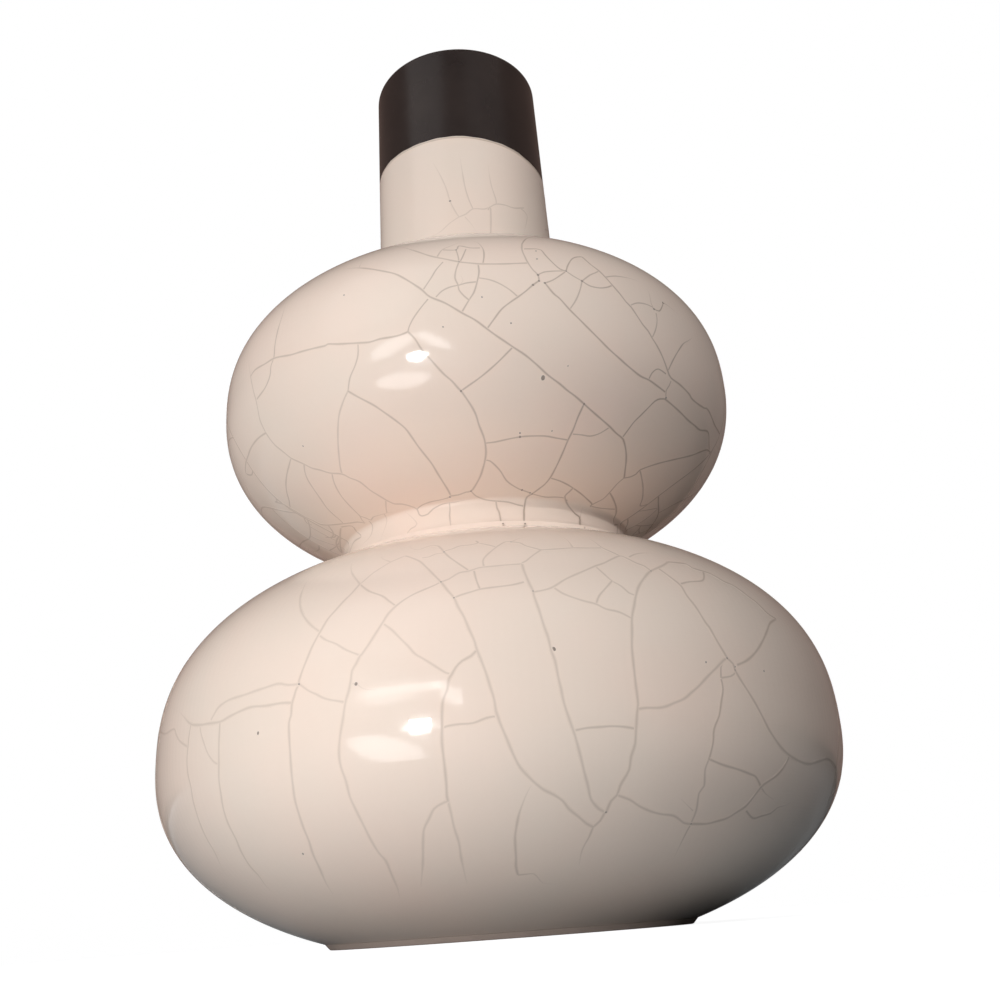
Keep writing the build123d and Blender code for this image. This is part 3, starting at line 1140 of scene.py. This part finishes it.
# The stops that carry a free end round to the flank crack
def reachedStops(azimuth, length):
    side = math.copysign(1, azimuth)
    endSpread, middleSpread = crackle["reachSpread"]
    goal = length + chance.uniform(-endSpread, endSpread)
    middle = (length + goal) / 2 + chance.uniform(-middleSpread, middleSpread)
    edge = flankAzimuth(side, goal)
    return [((azimuth + edge) / 2, middle), (edge, goal)]


# Traced runs, each as stops on the wall with its free ends marked, gathered by zone
def tracedRuns():
    everyRun = [run for runs in crackRuns.values() for run in runs]
    gathered = {"neck": [], "upper": [], "lower": []}
    for group, runs in crackRuns.items():
        for run in runs:
            others = [other for other in everyRun if other is not run]
            stops = [sightedPlace(pixel) for pixel in run]
            above = heightAt(stops[len(stops) // 2][1]) > form["collarBase"]
            zone = "neck" if group == "neck" else "upper" if above or group.startswith("upper") else "lower"
            free = []
            for end in (0, -1):
                loose = min(nearPixel(run[end], other) for other in others) > crackle["joinPixels"]
                azimuth, length = stops[end]
                if loose and zone != "neck" and abs(azimuth) > crackle["reachAzimuth"]:
                    extra = reachedStops(azimuth, length)
                    stops = extra[::-1] + stops if end == 0 else stops + extra
                    loose = False
                free.append(loose)
            gathered[zone].append((stops, free))
    return gathered


# Cracks on the unseen side: a patch of the wall is split again and again by short bowed cracks
def splitPatch(patch, cracks):
    count = len(patch)
    middle = sum(point[1] for point in patch) / count
    radius = radiusAt(middle)
    flat = [(math.radians(azimuth) * radius, length) for azimuth, length in patch]
    size = abs(sum(a[0] * b[1] - b[0] * a[1] for a, b in zip(flat, flat[1:] + flat[:1]))) / 2
    stops = splitting["cellSizes"]
    cell = np.interp(heightAt(middle), list(stops), list(stops.values()))
    cell *= chance.uniform(*splitting["cellSpread"])
    if size < cell * cell or count < splitting["fewestPoints"]:
        return
    tries = []
    for attempt in range(splitting["tries"]):
        first = chance.randrange(count)
        second = (first + round(count * chance.uniform(*splitting["oppositeShare"]))) % count
        length = math.dist(flat[first], flat[second]) * chance.uniform(*splitting["lengthSpread"])
        tries.append((length, first, second))
    low, high = sorted(min(tries)[1:])
    start, end = flat[low], flat[high]
    bow = chance.uniform(-splitting["bow"], splitting["bow"])
    ripple = chance.uniform(-splitting["ripple"], splitting["ripple"])
    steps = max(splitting["fewestSteps"], round(math.dist(start, end) / splitting["stepLength"]))
    path = []
    for step in range(steps + 1):
        share = step / steps
        offset = 4 * bow * share * (1 - share) + ripple * math.sin(share * 3 * math.pi)
        x = start[0] + (end[0] - start[0]) * share - (end[1] - start[1]) * offset
        y = start[1] + (end[1] - start[1]) * share + (end[0] - start[0]) * offset
        path.append((math.degrees(x / radius), y))
    cracks.append(path)
    splitPatch(patch[: low + 1] + path[1:-1] + patch[high:], cracks)
    splitPatch(patch[low:high] + path[::-1][:-1], cracks)


# The cracks of the wall that lies between two upright lines
def splitBetween(right, left):
    span = left[0][0] - right[0][0]
    topSpan = left[-1][0] - right[-1][0]
    turns = round(math.radians(span) * splitting["rimRadius"] / splitting["stepLength"])
    top = [(right[-1][0] + topSpan * step / turns, right[-1][1]) for step in range(1, turns)]
    bottom = [(right[0][0] + span * step / turns, right[0][1]) for step in range(turns - 1, 0, -1)]
    cracks = []
    splitPatch(right + top + left[::-1] + bottom, cracks)
    return cracks


def levelsBetween(low, high, steps):
    return [low + (high - low) * step / steps for step in range(steps + 1)]


# A zone's cracks outside the traced part: round the back, and on the front of the upper zone's top
def unseenRuns(zone):
    lowest, highest = (lengthAt(height) for height in crackle["zoneHeights"][zone])
    steps = max(splitting["fewestSteps"], round((highest - lowest) / splitting["stepLength"]))
    levels = levelsBetween(lowest, highest, steps)
    if zone == "neck":
        right, left = (
            [(azimuth + sway * math.sin(level * pitch + turn), level) for level in levels]
            for azimuth, sway, pitch, turn in crackle["neckSides"]
        )
        return [(path, (False, False)) for path in splitBetween(right, left)]
    right = [(flankAzimuth(1, level), level) for level in levels]
    left = [(360 + flankAzimuth(-1, level), level) for level in levels]
    cracks = splitBetween(right, left)
    if zone == "upper":
        rises = levelsBetween(lengthAt(crackle["capFoot"]), highest, crackle["capSteps"])
        sides = [[(flankAzimuth(side, level), level) for level in rises] for side in (-1, 1)]
        cracks += splitBetween(*sides)
    return [(path, (False, False)) for path in cracks] + [(right, (True, True)), (left, (True, True))]


def raised(least, share):
    return least + (1 - least) * share


def crackMesh(name, runs, zoneWidth=1, zoneStain=1):
    points, edges, facing, widths, shades = [], [], [], [], []
    sway, pitch = crackle["ripple"]
    for stops, free in runs:
        path = smoothRun(stops)
        placed = [wallPlace(azimuth, length) for azimuth, length in path]
        walk = np.concatenate(([0], np.cumsum([math.dist(a[0], b[0]) for a, b in zip(placed, placed[1:])])))
        strength = min(1, raised(crackle["shortWidth"], walk[-1] / crackle["fullLength"]))
        shade = chance.uniform(*crackle["shadeSpread"])
        first = len(points)
        for along, (azimuth, length), (point, normal) in zip(walk, path, placed):
            ends = zip((along, walk[-1] - along), free)
            fade = min([1] + [gone / crackle["taperLength"] for gone, loose in ends if loose])
            points.append(point)
            facing.extend(normal)
            ripple = 1 + sway * math.sin(along * pitch + first)
            widths.append(zoneWidth * strength * raised(crackle["taperWidth"], fade) * ripple)
            # the stain's strength round the vase carries painted shade: darker on the shaded right, fainter
            # on the lit left
            around = ringValue(crackle["stainWithShadeRound"], azimuth)
            shades.append(zoneStain * around * shade * raised(crackle["taperStain"], fade))
        edges += [(place, place + 1) for place in range(first, len(points) - 1)]
    stored = {"facing": ("FLOAT_VECTOR", facing), "width": ("FLOAT", widths), "shade": ("FLOAT", shades)}
    return guideMesh(name, points, edges, stored)


# A low closed band along each run: flat on top, its sides sunk into the glaze
bandSection = {
    "across": (-1, -0.5, 0, 0.5, 1, 1, -1),
    "height": (0.04, 0.046, 0.048, 0.046, 0.04, -0.09, -0.09),
    "stain": (0, 0.5, 1, 0.5, 0, 0, 0),
}


def crackTree():
    inputs = {"Runs": "Geometry", "Section": "Object", "Half Width": "Float", "Sharp Angle": "Float"}
    inputs["Glaze"] = "Material"
    tree, given, result = newTree("crackLines", "GeometryNodeTree", inputs, {"Lines": "Geometry"})
    curve = addNode(tree, "GeometryNodeMeshToCurve", {0: given["Runs"]}).outputs[0]
    inputs = {"Curve": curve, "Normal": storedValue(tree, "facing", "FLOAT_VECTOR")}
    turned = addNode(tree, "GeometryNodeSetCurveNormal", inputs, mode="FREE").outputs[0]
    radius = addMath(tree, "MULTIPLY", storedValue(tree, "width", "FLOAT"), given["Half Width"])
    sized = addNode(tree, "GeometryNodeSetCurveRadius", {"Curve": turned, "Radius": radius}).outputs[0]
    section = addNode(tree, "GeometryNodeObjectInfo", {"Object": given["Section"]}).outputs["Geometry"]
    profile = addNode(tree, "GeometryNodeMeshToCurve", {0: section}).outputs[0]
    inputs = {"Curve": sized, "Profile Curve": profile, "Scale": radius, "Fill Caps": True}
    band = addNode(tree, "GeometryNodeCurveToMesh", inputs).outputs[0]
    flow = realized(tree, creased(tree, band, given["Sharp Angle"]))
    inputs = {"Geometry": flow, "Material": given["Glaze"]}
    feed(tree, result, {"Lines": addNode(tree, "GeometryNodeSetMaterial", inputs).outputs[0]})
    return tree


sectionPoints = [(height, across, 0) for across, height in zip(bandSection["across"], bandSection["height"])]
sectionStain = {"stain": ("FLOAT", bandSection["stain"])}
lineSection = addObject(
    "crackSection", guideMesh("crackSection", sectionPoints, ringEdges(len(sectionPoints)), sectionStain)
)
lineTree = crackTree()
crackMaterial = glazeMaterial("crackStain", glaze, crackle["stain"])
lineValues = {"Section": lineSection, "Sharp Angle": crackle["sharpAngle"]}
lineValues["Half Width"] = crackle["halfWidth"]
unseenCrossings = []
for zone, runs in tracedRuns().items():
    unseen = unseenRuns(zone)
    unseenCrossings += [path[0] for path, free in unseen if chance.random() < crackle["pittedShare"]]
    runs += unseen
    mesh = crackMesh(zone, runs, crackle["zoneWidth"][zone], crackle["zoneStain"][zone])
    piece = shapedPiece(zone + "_crackle", mesh, lineTree, lineValues | {"Glaze": crackMaterial})
    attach(piece, "root")
    print("stage:", zone, "crackle,", len(runs), "cracks,", len(piece.data.polygons), "faces")

# The thin pale line where the cream glaze stops short of the black
halo = {
    "drop": 0.0003,
    "halfWidth": 0.0005,
    "stain": (0.46, 0.35, 0.27, 1),
    "stopAngle": 3,
}
haloLevel = lengthAt(form["bandBase"] - halo["drop"])
haloStops = [(angle, haloLevel) for angle in range(0, 361, halo["stopAngle"])]
haloMaterial = glazeMaterial("haloStain", glaze, halo["stain"])
values = lineValues | {"Glaze": haloMaterial, "Half Width": halo["halfWidth"]}
piece = shapedPiece("glaze_halo", crackMesh("glaze_halo", [(haloStops, (False, False))]), lineTree, values)
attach(piece, "root")
bpy.data.objects.remove(lineSection)

# Pits and pinholes: low dark domes pressed on the glaze, one instance a spot
pit = {
    "seed": 11,
    "radius": 0.00036,
    "radiusSpread": (0.8, 1.2),
    "unseenSpread": (0.7, 1.1),
    "pinholeRadius": 0.00026,
    "pinholeLength": 1.35,
    "height": 0.00003,
    "lean": 0.5,
    "segments": 12,
    "rings": 6,
    "color": (0.25, 0.195, 0.165, 1),
    "edgeColor": (0.38, 0.31, 0.27, 1),
    "grainScale": 2500.0,
    "grainDetail": 2.0,
    "roughness": 0.5,
}


def spotMesh(name, spots):
    placed = [wallPlace(*place) for place, radius, stretch in spots]
    stored = {
        "facing": ("FLOAT_VECTOR", [value for point, normal in placed for value in normal]),
        "radius": ("FLOAT", [radius for place, radius, stretch in spots]),
        "stretch": ("FLOAT", [stretch for place, radius, stretch in spots]),
    }
    return guideMesh(name, [point for point, normal in placed], [], stored)


def spotTree():
    inputs = {"Spots": "Geometry", "Height": "Float", "Seed": "Int", "Pit": "Material"}
    tree, given, result = newTree("glazeSpots", "GeometryNodeTree", inputs, {"Domes": "Geometry"})
    inputs = {"Segments": pit["segments"], "Rings": pit["rings"], "Radius": 1.0}
    dome = addNode(tree, "GeometryNodeMeshUVSphere", inputs).outputs[0]
    inputs = {"Primary Axis": storedValue(tree, "facing", "FLOAT_VECTOR"), "Secondary Axis": (0.0, 0.0, 1.0)}
    axes = {"primary_axis": "Z", "secondary_axis": "Y"}
    upright = addNode(tree, "FunctionNodeAxesToRotation", inputs, **axes).outputs[0]
    inputs = {2: -pit["lean"], 3: pit["lean"], 8: given["Seed"]}
    lean = addNode(tree, "FunctionNodeRandomValue", inputs, data_type="FLOAT").outputs[1]
    inputs = {"Rotation": upright, "Rotate By": addNode(tree, "ShaderNodeCombineXYZ", {"Z": lean}).outputs[0]}
    turned = addNode(tree, "FunctionNodeRotateRotation", inputs, rotation_space="LOCAL").outputs[0]
    radius = storedValue(tree, "radius", "FLOAT")
    length = addMath(tree, "MULTIPLY", radius, storedValue(tree, "stretch", "FLOAT"))
    size = addNode(tree, "ShaderNodeCombineXYZ", {"X": radius, "Y": length, "Z": given["Height"]}).outputs[0]
    inputs = {"Points": given["Spots"], "Instance": dome, "Rotation": turned, "Scale": size}
    flow = realized(tree, addNode(tree, "GeometryNodeInstanceOnPoints", inputs).outputs[0])
    smooth = addNode(tree, "GeometryNodeSetShadeSmooth", {"Geometry": flow, "Shade Smooth": True}).outputs[0]
    inputs = {"Geometry": smooth, "Material": given["Pit"]}
    feed(tree, result, {"Domes": addNode(tree, "GeometryNodeSetMaterial", inputs).outputs[0]})
    return tree


def pitMaterial():
    material, tree, shader = newMaterial("glazePit")
    grain = addNoise(tree, objectPlace(tree), pit["grainScale"], pit["grainDetail"])
    color = mixColors(tree, grain, pit["color"], pit["edgeColor"])
    feed(tree, shader, {"Base Color": color, "Roughness": pit["roughness"]})
    return material


spots = [(sightedPlace(pixel), pit["radius"] * chance.uniform(*pit["radiusSpread"]), 1) for pixel in pitSpots]
for pixel, size in pinholes.items():
    spots.append((sightedPlace(pixel), pit["pinholeRadius"] * size, pit["pinholeLength"]))
spots += [(place, pit["radius"] * chance.uniform(*pit["unseenSpread"]), 1) for place in unseenCrossings]
pitValues = {"Height": pit["height"], "Seed": pit["seed"], "Pit": pitMaterial()}
piece = shapedPiece("glaze_pits", spotMesh("glaze_pits", spots), spotTree(), pitValues)
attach(piece, "root")
print("stage: pits,", len(spots), "spots")

# Studio: a small bright lamp beside the camera does most of the work, the others fill in round it
studio = {
    "floorSize": 12.0,
    "floorColor": (0.33, 0.365, 0.39, 1),  # as the vase is lit by it
    "floorRoughness": 0.9,
    "floorNear": 0.92,  # how bright it looks beside the vase, and far off
    "floorFar": 1.0,
    "floorFade": (0.2, 1.2),
    "worldColor": (1.0, 0.9, 0.84, 1),
    "worldLevel": 0.02,
    "reflectedColor": (1.0, 0.66, 0.56, 1),
    "reflectedLevel": 0.15,
    "lampAim": 0.13,
    "panelAim": 0.1,
    "partsLit": {"upper": "upper_", "lower": "lower_", "collar": "waist_collar"},
}
white = (1, 1, 1, 1)
# Lamps: place, size and power
lamps = {
    "keyLamp": ((-0.196, -0.509, 0.041), 0.06, 0.88),
    "leftLamp": ((-0.5, -0.55, 0.26), 0.18, 0.8),
    "farLeftLamp": ((-1.0, -1.4, 0.4), 0.4, 3.6),
    "overheadLamp": ((0.1, -0.38, 0.554), 0.3, 0.7),
    "frontLamp": ((-0.3, -0.7, 0.06), 0.2, 0.22),
    "lowLamp": ((-0.12, -0.34, 0.022), 0.04, 0.12),
    "rightLamp": ((0.36, -0.12, 0.34), 0.15, 0.33),
    "collarLamp": ((0.26, -0.3, 0.11), 0.06, 0.22),
    "backLamp": ((-0.7, 0.5, 0.4), 0.4, 3.3),
}
# Panels that only mirror in the glaze: place, width and height, tilt in degrees, and brightness
panels = {
    "upperLeftRing": ((-0.283, -0.475, 0.158), (0.211, 0.105), 38.7, 3.6),
    "upperRightRing": ((-0.132, -0.533, 0.145), (0.22, 0.057), -55, 4.5),
    "upperLowRing": ((-0.088, -0.18, 0.068), (0.072, 0.043), -12.6, 3.8),
    "lowerLeftRing": ((-0.246, -0.489, 0.168), (0.234, 0.038), 2.2, 4.2),
    "lowerRightRing": ((-0.123, -0.537, 0.15), (0.11, 0.038), -43.4, 4.2),
    "lowerLowRing": ((-0.086, -0.182, 0.017), (0.075, 0.036), -38, 3.8),
    "leftWindow": ((-0.6, -0.6, 1.0), (0.8, 0.9), 0, 0.45),
    "rightWindow": ((0.7, -0.75, 1.0), (0.9, 0.9), 0, 0.13),
}


def studioWorld():
    world = bpy.data.worlds.new("studioWorld")
    world.use_nodes = True
    bpy.context.scene.world = world
    tree = world.node_tree
    path = addNode(tree, "ShaderNodeLightPath").outputs
    mirrored = path["Is Glossy Ray"]
    seen = addMath(tree, "MAXIMUM", path["Is Camera Ray"], path["Is Transmission Ray"])
    level = addMath(tree, "MULTIPLY_ADD", mirrored, studio["reflectedLevel"], studio["worldLevel"])
    room = mixColors(tree, mirrored, studio["worldColor"], studio["reflectedColor"])
    inputs = {"Color": mixColors(tree, seen, room, white), "Strength": addMath(tree, "MAXIMUM", seen, level)}
    feed(tree, tree.nodes["Background"], inputs)


def addFloor():
    half = studio["floorSize"] / 2
    mesh = bpy.data.meshes.new("studioFloor")
    corners = [(-half, -half, 0), (half, -half, 0), (half, half, 0), (-half, half, 0)]
    mesh.from_pydata(corners, [], [(0, 1, 2, 3)])
    floor = addObject("studioFloor", mesh)
    material, tree, shader = newMaterial("floorPaper")
    inputs = {0: objectPlace(tree)}
    distance = addNode(tree, "ShaderNodeVectorMath", inputs, operation="LENGTH").outputs["Value"]
    inputs = dict(zip(("From Min", "From Max"), studio["floorFade"]))
    inputs |= {"Value": distance, "To Min": studio["floorNear"], "To Max": studio["floorFar"]}
    glow = addNode(tree, "ShaderNodeMapRange", inputs, interpolation_type="SMOOTHSTEP").outputs[0]
    seen = addNode(tree, "ShaderNodeLightPath").outputs["Is Camera Ray"]
    feed(tree, shader, {"Base Color": studio["floorColor"], "Roughness": studio["floorRoughness"]})
    feed(tree, shader, {"Emission Color": white, "Emission Strength": addMath(tree, "MULTIPLY", glow, seen)})
    mesh.materials.append(material)


# A light whose name starts with a part's key reaches only that part's pieces. The others reach all.
def keepToPart(holder):
    for start, part in studio["partsLit"].items():
        if holder.name.startswith(start):
            reached = bpy.data.collections.new(holder.name + "Reach")
            for piece in bpy.context.scene.objects:
                if piece.name.startswith(part):
                    reached.objects.link(piece)
            holder.light_linking.receiver_collection = reached


def addLight(name, shape, spot, aim, size, power, tilt=0):
    light = bpy.data.lights.new(name, "AREA")
    light.shape = shape
    light.size, light.size_y = size
    light.energy = power
    holder = addObject(name, light)
    facing = (Vector((0, 0, aim)) - Vector(spot)).to_track_quat("-Z", "Y").to_matrix()
    turned = facing @ Matrix.Rotation(math.radians(tilt), 3, "Z")
    holder.matrix_world = Matrix.Translation(spot) @ turned.to_4x4()
    holder.visible_camera = False
    keepToPart(holder)
    return holder


studioWorld()
addFloor()
for name, (spot, size, power) in lamps.items():
    lamp = addLight(name, "DISK", spot, studio["lampAim"], (size, size), power)
    lamp.visible_glossy = name == "keyLamp"  # only this one mirrors in the glaze
for name, (spot, size, tilt, brightness) in panels.items():
    shape, fill = ("ELLIPSE", math.pi / 4) if name.endswith("Ring") else ("RECTANGLE", 1)
    power = brightness * math.pi * (size[0] * size[1] * fill)
    addLight(name, shape, spot, studio["panelAim"], size, power, tilt).visible_diffuse = False
print("stage: studio")
